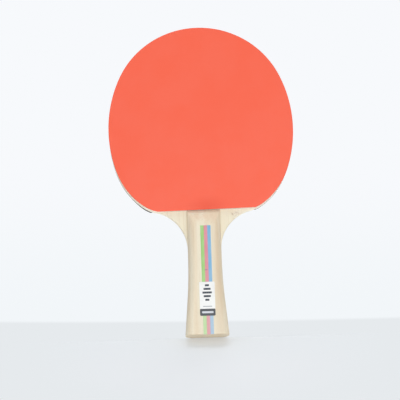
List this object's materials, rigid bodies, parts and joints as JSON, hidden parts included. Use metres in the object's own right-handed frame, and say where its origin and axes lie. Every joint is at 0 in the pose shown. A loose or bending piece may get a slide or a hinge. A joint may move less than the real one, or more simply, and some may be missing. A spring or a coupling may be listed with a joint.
{
  "type": "table tennis paddle",
  "caption": "Table tennis paddle: plywood blade with smooth sponge-backed rubber on both faces and a flared wooden handle with coloured stripes and a label of plain bars.",
  "frame": {"origin": "middle of the flat butt of the handle, at the bottom centre of the whole paddle, which stands upright on its butt", "axes": "+Z from the butt up the handle towards the top of the head, -Y out of the front face (red rubber, stripes and label), +Y out of the back face, +X to the right seen from the front"},
  "size_m": [0.15, 0.0232, 0.2538],
  "materials": {
    "core_wood": "sawn and sanded pale core wood, seen only as a thin edge line",
    "inner_veneer": "thin crossed veneer, slightly darker edge line",
    "face_veneer": "smooth sanded pale veneer, straight fine grain, satin",
    "handle_wood": "pale sanded wood with fine straight grain along the handle, satin",
    "sponge": "pale fine-celled sponge, matte",
    "red_rubber": "smooth coral-red rubber, pimples inward, soft sheen",
    "black_rubber": "smooth black rubber, pimples inward, soft sheen",
    "green_foil": "thin printed foil stripe, light green",
    "pink_foil": "thin printed foil stripe, pink",
    "blue_foil": "thin printed foil stripe, light blue",
    "label_white": "smooth coated white label with five plain dark bars",
    "label_dark": "smooth coated dark grey label band with one plain pale bar"
  },
  "bodies": {
    "root": {"core_ply": "core_wood", "inner_veneer_front": "inner_veneer", "face_veneer_front": "face_veneer", "sponge_front": "sponge", "topsheet_front": "red_rubber", "handle_shell_front": "handle_wood", "inner_veneer_back": "inner_veneer", "face_veneer_back": "face_veneer", "sponge_back": "sponge", "topsheet_back": "black_rubber", "handle_shell_back": "handle_wood", "stripe_green_upper": "green_foil", "stripe_green_lower": "green_foil", "stripe_pink_upper": "pink_foil", "stripe_pink_lower": "pink_foil", "stripe_blue_upper": "blue_foil", "stripe_blue_lower": "blue_foil", "label_field": "label_white", "label_bar": "label_dark"}
  },
  "joints": []
}
